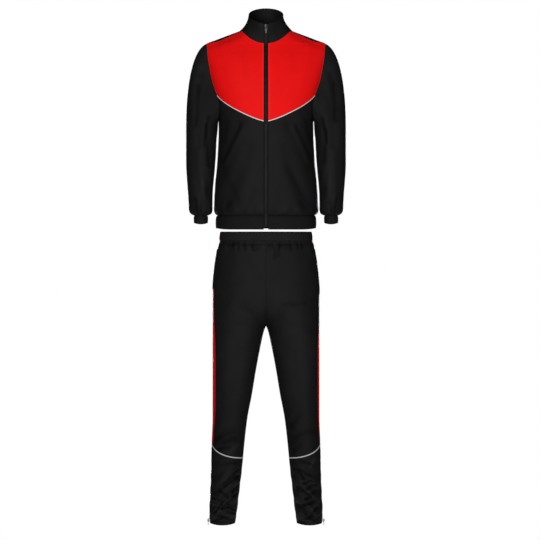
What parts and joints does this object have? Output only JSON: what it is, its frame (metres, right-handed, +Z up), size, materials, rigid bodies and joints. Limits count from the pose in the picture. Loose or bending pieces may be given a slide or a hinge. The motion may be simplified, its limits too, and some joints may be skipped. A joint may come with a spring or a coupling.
{
  "type": "tracksuit, zipped jacket and trousers",
  "caption": "Zipped track jacket with a stand collar and contrast yoke, and slim trousers with side stripes and ankle zips, filled out as worn and hollow.",
  "frame": {"origin": "between the shoulders, level with the points where the neck seam meets the shoulder seams, where the wearer's shoulders carry the jacket", "axes": "+Z up, the front faces -Y, +X towards the wearer's left side"},
  "size_m": [0.56, 0.2714, 1.8105],
  "materials": {
    "black_knit": "black polyester tricot knit, smooth with a soft sheen",
    "red_knit": "bright red polyester tricot knit, smooth with a soft sheen",
    "black_rib": "black elastic band in the same knit, gathered",
    "white_piping": "white piping, tightly woven and slightly raised",
    "grey_piping": "light grey piping, tightly woven and slightly raised",
    "zip_tape": "black woven zip tape",
    "zip_plastic": "black moulded zip teeth",
    "zip_metal": "grey die-cast metal, slightly worn"
  },
  "bodies": {
    "suit": {"jacket_back": "black_knit", "jacket_yoke_right": "red_knit", "jacket_front_right": "black_knit", "yoke_piping_right": "white_piping", "jacket_yoke_left": "red_knit", "jacket_front_left": "black_knit", "yoke_piping_left": "white_piping", "collar": "black_knit", "sleeve_front_right": "black_knit", "sleeve_back_right": "black_knit", "cuff_right": "black_rib", "sleeve_front_left": "black_knit", "sleeve_back_left": "black_knit", "cuff_left": "black_rib", "hem_band": "black_rib", "zip_chain": "zip_plastic", "zip_tape_right": "zip_tape", "zip_tape_left": "zip_tape", "zip_slider": "zip_metal", "waistband": "black_rib", "trouser_front_right": "black_knit", "trouser_back_right": "black_knit", "lower_leg_right": "black_knit", "calf_piping_right": "grey_piping", "side_stripe_right": "red_knit", "pocket_welt_right": "black_knit", "ankle_zip_right": "zip_tape", "ankle_slider_right": "zip_metal", "trouser_front_left": "black_knit", "trouser_back_left": "black_knit", "lower_leg_left": "black_knit", "calf_piping_left": "grey_piping", "side_stripe_left": "red_knit", "pocket_welt_left": "black_knit", "ankle_zip_left": "zip_tape", "ankle_slider_left": "zip_metal"},
    "main_pull": {"zip_pull": "zip_metal"},
    "right_ankle_pull": {"ankle_pull_right": "zip_metal"},
    "left_ankle_pull": {"ankle_pull_left": "zip_metal"}
  },
  "joints": [
    {"name": "main_pull_hinge", "type": "hinge", "parent": "suit", "child": "main_pull", "pos_m": [0, -0.08205, 0.0125], "axis": [-1, 0, 0], "range_deg": [0, 170]},
    {"name": "right_ankle_hinge", "type": "hinge", "parent": "suit", "child": "right_ankle_pull", "pos_m": [-0.20234, 0.001, -1.7135], "axis": [0, 1, 0], "range_deg": [0, 170]},
    {"name": "left_ankle_hinge", "type": "hinge", "parent": "suit", "child": "left_ankle_pull", "pos_m": [0.20234, 0.001, -1.7135], "axis": [0, -1, 0], "range_deg": [0, 170]}
  ]
}
